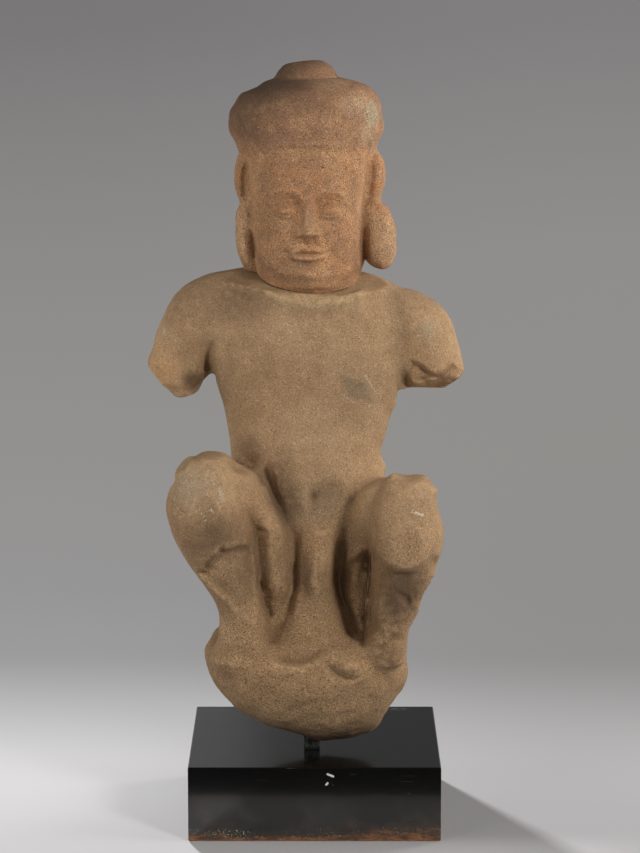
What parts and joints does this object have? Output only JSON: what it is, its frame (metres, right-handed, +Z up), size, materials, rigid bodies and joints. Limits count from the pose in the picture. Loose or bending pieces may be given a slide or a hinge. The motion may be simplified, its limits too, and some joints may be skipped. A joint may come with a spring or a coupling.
{
  "type": "vishnu statue on a mounting post and block",
  "caption": "Broken sandstone figure with a tall cap and raised knees, held upright by a square steel post on a black block.",
  "frame": {"origin": "centre of the block's underside, where it stands", "axes": "+Z up, +X to the viewer's right as the figure faces the viewer, +Y away from the viewer"},
  "size_m": [0.401, 0.3192, 0.978],
  "materials": {
    "black_lacquered_wood": "glossy black lacquer, rubbed through to brown along the foot",
    "black_painted_steel": "satin black paint",
    "sandstone": "worn, fine-grained brown sandstone",
    "reddened_sandstone": "worn, fine-grained sandstone with a redder crust"
  },
  "bodies": {
    "root": {"base_block": "black_lacquered_wood", "mounting_post": "black_painted_steel", "body": "sandstone", "head": "reddened_sandstone"}
  },
  "joints": []
}
